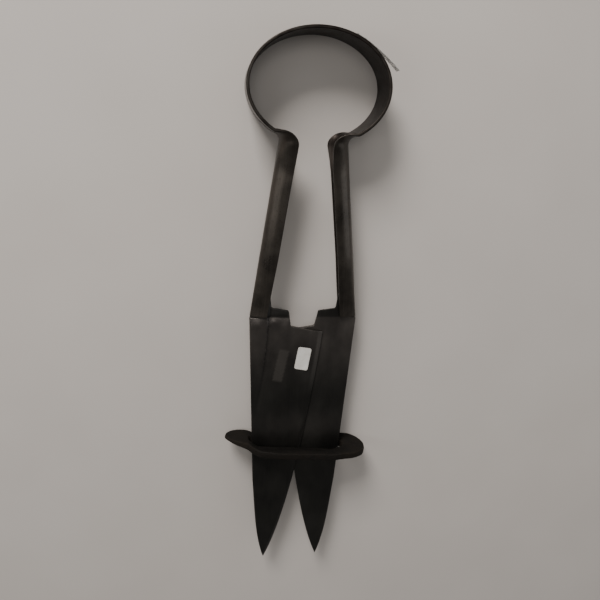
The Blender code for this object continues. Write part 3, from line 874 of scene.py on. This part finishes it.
def build_tape(finish):
    """The tape, a thin strip that follows its line and is a little wavy."""
    line = tape_line()
    top = MID_Z + BAND_WIDTH / 2 - TAPE_BELOW_RIM
    columns = TAPE_COLUMNS
    points = []
    for index, place in enumerate(line):
        run = line[min(index + 1, len(line) - 1)] - line[max(index - 1, 0)]
        out = Vector((-run.y, run.x)).normalized()
        for layer in (0, 1):
            for column in range(columns):
                z = top - TAPE_WIDTH * column / (columns - 1)
                wave = TAPE_WAVE * noise.noise(Vector((place.x, place.y, z)) / TAPE_WAVE_SCALE)
                shift = out * (TAPE_THICKNESS * layer + wave)
                points.append((place.x + shift.x, place.y + shift.y, z))
    faces = []
    count = 2 * columns
    for row in range(len(line) - 1):
        low = row * count
        for column in range(columns - 1):
            faces.append((low + column, low + column + 1, low + count + column + 1, low + count + column))
            up = low + columns
            faces.append((up + column, up + count + column, up + count + column + 1, up + column + 1))
        for column in (low, low + columns - 1):
            faces.append((column, columns + column, count + columns + column, count + column))
    for low in (0, (len(line) - 1) * count):
        for column in range(columns - 1):
            faces.append((low + column, low + column + 1, low + columns + column + 1, low + columns + column))
    tape = new_object("tape_film", points, faces, finish)
    turn_faces_out(tape)
    tape.data.set_sharp_from_angle(angle=SHARP_STRIP)
    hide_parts("tape_strip")
    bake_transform(tape)


# ---------------------------------------------------------------- materials

# A Mix node has several sockets of each name; these are the colour ones
MIX_FIRST = 6
MIX_SECOND = 7
MIX_RESULT = 2
WHOLE = (0.0, 1.0)


def new_material(name):
    """A material, its node tree and its shader."""
    made = bpy.data.materials.new(name)
    made.use_nodes = True
    return made, made.node_tree, made.node_tree.nodes["Principled BSDF"]


def feed(tree, socket, value):
    """Link a socket to another one, or set it to a value."""
    if isinstance(value, bpy.types.NodeSocket):
        tree.links.new(value, socket)
    else:
        socket.default_value = value


def add(tree, kind, inputs, **settings):
    """Add a node, set its settings, and link or set its inputs."""
    made = tree.nodes.new(kind)
    for name, value in settings.items():
        setattr(made, name, value)
    for name, value in inputs.items():
        feed(tree, made.inputs[name], value)
    return made


def millimetres(tree, stretch, source="Object"):
    """Coordinates in millimetres, each axis divided by its stretch."""
    where = add(tree, "ShaderNodeTexCoord", {}).outputs[source]
    unit = 1.0 if source == "UV" else 1 / MM
    scale = tuple(unit / length for length in stretch)
    return add(tree, "ShaderNodeMapping", {"Vector": where, "Scale": scale}).outputs["Vector"]


def speckle(tree, where, detail, low, high):
    """Noise between two levels, cut to 0 below low and to 1 above high."""
    made = add(tree, "ShaderNodeTexNoise", {"Vector": where, "Scale": 1.0, "Detail": detail})
    return remap(tree, made.outputs["Fac"], low, high, *WHOLE)


def remap(tree, value, low, high, new_low, new_high):
    """Stretch the range from low to high onto a new one, and cut off what lies outside."""
    inputs = {"Value": value, "From Min": low, "From Max": high, "To Min": new_low, "To Max": new_high}
    return add(tree, "ShaderNodeMapRange", inputs).outputs["Result"]


def arithmetic(tree, operation, first, second):
    """The result of one Math node on two numbers or sockets."""
    made = add(tree, "ShaderNodeMath", {}, operation=operation)
    for socket, value in zip(made.inputs, (first, second)):
        feed(tree, socket, value)
    return made.outputs["Value"]


def times(tree, first, second):
    """The product of two numbers or sockets."""
    return arithmetic(tree, "MULTIPLY", first, second)


def plus(tree, first, second):
    """The sum of two numbers or sockets."""
    return arithmetic(tree, "ADD", first, second)


def tint(tree, share, low, high):
    """A colour between low and high, each a colour or another colour socket."""
    made = add(tree, "ShaderNodeMix", {"Factor": share}, data_type="RGBA")
    for index, value in ((MIX_FIRST, low), (MIX_SECOND, high)):
        feed(tree, made.inputs[index], (*value, 1.0) if isinstance(value, tuple) else value)
    return made.outputs[MIX_RESULT]


def attribute(tree, name):
    """A number that paint() stored on the mesh."""
    return add(tree, "ShaderNodeAttribute", {}, attribute_name=name).outputs["Fac"]


def bump(tree, shader, height, depth):
    """Give the shader a bump of this depth from a height."""
    made = add(tree, "ShaderNodeBump", {"Height": height, "Distance": depth, "Strength": 1.0})
    tree.links.new(made.outputs["Normal"], shader.inputs["Normal"])


def strip_steel():
    """Old spring steel with a dark brown patina, draw marks along it and dull scuffed edges; painted shade,
    partly patina, darkens and reddens its inner face.
    """
    made, tree, shader = new_material("strip_steel")
    blotch = speckle(tree, millimetres(tree, (14, 14, 14)), 5.0, 0.35, 0.68)
    draw = speckle(tree, millimetres(tree, (30, 0.7, 1), "UV"), 3.0, 0.35, 0.70)
    pits = speckle(tree, millimetres(tree, (0.8, 0.8, 0.8)), 2.0, 0.60, 0.72)
    bow = tint(tree, blotch, (0.0085, 0.0068, 0.0058), (0.0165, 0.0125, 0.0105))
    grip = tint(tree, blotch, (0.027, 0.0235, 0.0200), (0.066, 0.057, 0.048))
    colour = tint(tree, attribute(tree, "handled"), bow, grip)
    # Painted shade, partly patina: the inner face is darker and redder than the outer face.
    shaded_inner_face = attribute(tree, "shaded_inner_face")
    dull = tint(tree, blotch, (0.0062, 0.0034, 0.0026), (0.0122, 0.0070, 0.0055))
    colour = tint(tree, times(tree, shaded_inner_face, 0.85), colour, dull)
    colour = tint(tree, times(tree, draw, 0.25), colour, (0.090, 0.081, 0.071))
    colour = tint(tree, times(tree, pits, 0.6), colour, (0.020, 0.013, 0.009))
    rub = times(tree, attribute(tree, "edge"), speckle(tree, millimetres(tree, (5, 5, 5)), 4.0, 0.38, 0.62))
    colour = tint(tree, times(tree, rub, 0.25), colour, (0.075, 0.068, 0.060))
    tree.links.new(colour, shader.inputs["Base Color"])
    shader.inputs["Metallic"].default_value = 0.85
    rough = remap(tree, blotch, 0.0, 1.0, 0.27, 0.37)
    rough = plus(tree, rough, times(tree, pits, 0.15))
    rough = plus(tree, rough, times(tree, shaded_inner_face, 0.14))
    tree.links.new(rough, shader.inputs["Roughness"])
    relief = plus(tree, times(tree, draw, 0.5), times(tree, pits, -1.0))
    bump(tree, shader, relief, 0.02 * MM)
    return made


def blade_steel():
    """Blackened blade steel: fine grinding marks along it, a lighter strip along the bevel near the heel, a
    scuffed patch, lighter steel towards the shoulder, and painted light just above the keeper.
    """
    made, tree, shader = new_material("blade_steel")
    blotch = speckle(tree, millimetres(tree, (16, 26, 16)), 5.0, 0.35, 0.70)
    marks = speckle(tree, millimetres(tree, (0.45, 22, 4)), 3.0, 0.35, 0.72)
    pits = speckle(tree, millimetres(tree, (0.7, 0.9, 0.9)), 2.0, 0.62, 0.74)
    colour = tint(tree, blotch, (0.0150, 0.0146, 0.0134), (0.027, 0.026, 0.0235))
    # Lighter steel towards the shoulder, and painted light just above the keeper, both read from one mark.
    lightened_colour = tint(tree, blotch, (0.044, 0.039, 0.036), (0.092, 0.082, 0.075))
    colour = tint(tree, attribute(tree, "lightened"), colour, lightened_colour)
    colour = tint(tree, times(tree, marks, 0.12), colour, (0.050, 0.047, 0.044))
    fine = speckle(tree, millimetres(tree, (0.3, 0.3, 0.3)), 1.0, 0.30, 0.70)
    scuff = times(tree, attribute(tree, "stamp"), remap(tree, fine, 0.0, 1.0, 0.45, 0.75))
    colour = tint(tree, times(tree, scuff, 0.8), colour, (0.115, 0.104, 0.094))
    # The lighter strip along the bevel near the heel.
    ground = times(tree, attribute(tree, "ground"), remap(tree, marks, 0.0, 1.0, 0.55, 1.0))
    colour = tint(tree, times(tree, ground, 0.8), colour, (0.125, 0.115, 0.107))
    rub = times(tree, attribute(tree, "edge"), speckle(tree, millimetres(tree, (4, 6, 4)), 4.0, 0.40, 0.66))
    colour = tint(tree, times(tree, rub, 0.35), colour, (0.090, 0.083, 0.076))
    tree.links.new(colour, shader.inputs["Base Color"])
    shader.inputs["Metallic"].default_value = 0.8
    rough = remap(tree, blotch, 0.0, 1.0, 0.36, 0.46)
    rough = plus(tree, rough, times(tree, pits, 0.15))
    tree.links.new(rough, shader.inputs["Roughness"])
    relief = plus(tree, times(tree, marks, 0.6), times(tree, pits, -1.0))
    bump(tree, shader, relief, 0.02 * MM)
    return made


def keeper_leather():
    """Dark harness leather dressed with oil, pebbled on its faces and paler where it was cut, with painted
    shade darkening its middle where it lies across the blades.
    """
    made, tree, shader = new_material("keeper_leather")
    blotch = speckle(tree, millimetres(tree, (8, 8, 8)), 5.0, 0.35, 0.68)
    grain = add(tree, "ShaderNodeTexVoronoi", {"Vector": millimetres(tree, (0.8, 0.8, 0.8)), "Scale": 1.0})
    creases = remap(tree, grain.outputs["Distance"], 0.0, 0.8, 0.0, 1.0)
    fibre = speckle(tree, millimetres(tree, (1.6, 0.35, 1.6)), 4.0, 0.35, 0.68)
    colour = tint(tree, blotch, (0.0036, 0.0030, 0.0023), (0.0090, 0.0070, 0.0050))
    colour = tint(tree, times(tree, creases, 0.4), colour, (0.007, 0.006, 0.005))
    cut = times(tree, attribute(tree, "edge"), fibre)
    colour = tint(tree, times(tree, cut, 0.35), colour, (0.034, 0.025, 0.017))
    # Painted shade darkens the keeper's middle.
    colour = tint(tree, times(tree, attribute(tree, "shaded_middle"), 0.5), colour, (0.0030, 0.0025, 0.0021))
    tree.links.new(colour, shader.inputs["Base Color"])
    tree.links.new(remap(tree, blotch, 0.0, 1.0, 0.70, 0.90), shader.inputs["Roughness"])
    shader.inputs["Specular IOR Level"].default_value = 0.16
    relief = plus(tree, times(tree, creases, -1.0), times(tree, cut, 0.8))
    bump(tree, shader, relief, 0.12 * MM)
    return made


def label_paper():
    """Slightly grubby white paper."""
    made, tree, shader = new_material("label_paper")
    fibre = speckle(tree, millimetres(tree, (0.5, 0.3, 0.5)), 4.0, 0.35, 0.65)
    stain = speckle(tree, millimetres(tree, (3.5, 3.5, 3.5)), 3.0, 0.40, 0.75)
    colour = tint(tree, fibre, (0.60, 0.585, 0.555), (0.66, 0.645, 0.615))
    colour = tint(tree, times(tree, stain, 0.35), colour, (0.46, 0.43, 0.38))
    colour = tint(tree, times(tree, attribute(tree, "edge"), 0.35), colour, (0.40, 0.37, 0.33))
    tree.links.new(colour, shader.inputs["Base Color"])
    tree.links.new(remap(tree, fibre, 0.0, 1.0, 0.6, 0.8), shader.inputs["Roughness"])
    bump(tree, shader, fibre, 0.02 * MM)
    return made


def clear_tape():
    """Aged clear tape, cloudy where air has got under it."""
    made, tree, shader = new_material("clear_tape")
    cloud = speckle(tree, millimetres(tree, (2.5, 2.5, 2.5)), 4.0, 0.35, 0.68)
    colour = tint(tree, cloud, (0.50, 0.50, 0.48), (0.66, 0.66, 0.64))
    tree.links.new(colour, shader.inputs["Base Color"])
    tree.links.new(remap(tree, cloud, 0.0, 1.0, 0.22, 0.40), shader.inputs["Roughness"])
    tree.links.new(remap(tree, cloud, 0.0, 1.0, 0.40, 0.75), shader.inputs["Alpha"])
    bump(tree, shader, cloud, 0.02 * MM)
    return made


def floor_finish():
    """Pale matt paper with the faintest unevenness."""
    made, tree, shader = new_material("floor_paper")
    cloud = speckle(tree, millimetres(tree, (60, 60, 60)), 2.0, 0.3, 0.7)
    tree.links.new(tint(tree, cloud, (0.51, 0.475, 0.445), (0.53, 0.495, 0.465)), shader.inputs["Base Color"])
    shader.inputs["Roughness"].default_value = 0.9
    return made


# ---------------------------------------------------------------- stage, lights and camera

CAMERA_PLACE = (-0.0489, 0.1229, 0.3332)
CAMERA_TURN = (-18.12, -7.22, 3.18)
CAMERA_LENS = 33.6
CAMERA_SENSOR = 36.0
CAMERA_CLIP_START = 0.01
FLOOR_HALF = 6.0
FLOOR_DROP = 0.05 * MM
LIGHT_TARGET = (0.0, 0.0, 0.0)
WARM = (1.0, 0.96, 0.92)
NEUTRAL = (1.0, 0.98, 0.95)
COOL = (0.95, 0.97, 1.0)
WORLD_COLOUR = (0.93, 0.91, 0.88, 1.0)
WORLD_STRENGTH = 0.26


def build_floor():
    """A plain floor just under the shears."""
    half = FLOOR_HALF
    corners = [(-half, -half, 0.0), (half, -half, 0.0), (half, half, 0.0), (-half, half, 0.0)]
    floor = new_object("floor", corners, [(0, 1, 2, 3)], floor_finish())
    floor.location.z = -FLOOR_DROP


def add_light(name, place, size, power, colour):
    """A rectangular light that faces the shears, its size in metres and its power in watts."""
    light = bpy.data.lights.new(name, "AREA")
    light.shape = "RECTANGLE"
    light.size, light.size_y = size
    light.energy = power
    light.color = colour
    made = bpy.data.objects.new(name, light)
    made.location = place
    aim = Vector(LIGHT_TARGET) - Vector(place)
    made.rotation_euler = aim.to_track_quat("-Z", "Y").to_euler()
    bpy.context.scene.collection.objects.link(made)


def build_lights():
    """A key light past the bow, a panel overhead, one light at each side and a soft surround."""
    add_light("key", place=(-0.42, 1.03, 0.62), size=(0.42, 0.42), power=18.0, colour=WARM)
    add_light("panel", place=(-0.08, 0.34, 1.08), size=(0.5, 0.34), power=1.5, colour=NEUTRAL)
    add_light("strip", place=(-0.75, 0.10, 0.47), size=(0.12, 0.9), power=1.1, colour=NEUTRAL)
    add_light("fill", place=(0.90, 0.05, 0.30), size=(0.3, 0.9), power=1.2, colour=COOL)
    world = bpy.data.worlds.new("studio")
    world.use_nodes = True
    background = world.node_tree.nodes["Background"]
    background.inputs["Color"].default_value = WORLD_COLOUR
    background.inputs["Strength"].default_value = WORLD_STRENGTH
    bpy.context.scene.world = world


def build_camera():
    """The camera above the shears, turned by CAMERA_TURN in degrees."""
    lens = bpy.data.cameras.new("camera")
    lens.lens = CAMERA_LENS
    lens.sensor_width = CAMERA_SENSOR
    lens.clip_start = CAMERA_CLIP_START
    camera = bpy.data.objects.new("camera", lens)
    camera.location = CAMERA_PLACE
    camera.rotation_euler = tuple(math.radians(angle) for angle in CAMERA_TURN)
    bpy.context.scene.collection.objects.link(camera)
    bpy.context.scene.camera = camera


def main():
    """Build every piece, then the stage."""
    build_strip(strip_steel())
    steel = blade_steel()
    build_blade(LEFT, steel)
    build_blade(RIGHT, steel)
    build_label(label_paper())
    build_keeper(keeper_leather())
    build_tape(clear_tape())
    build_floor()
    build_lights()
    build_camera()


main()
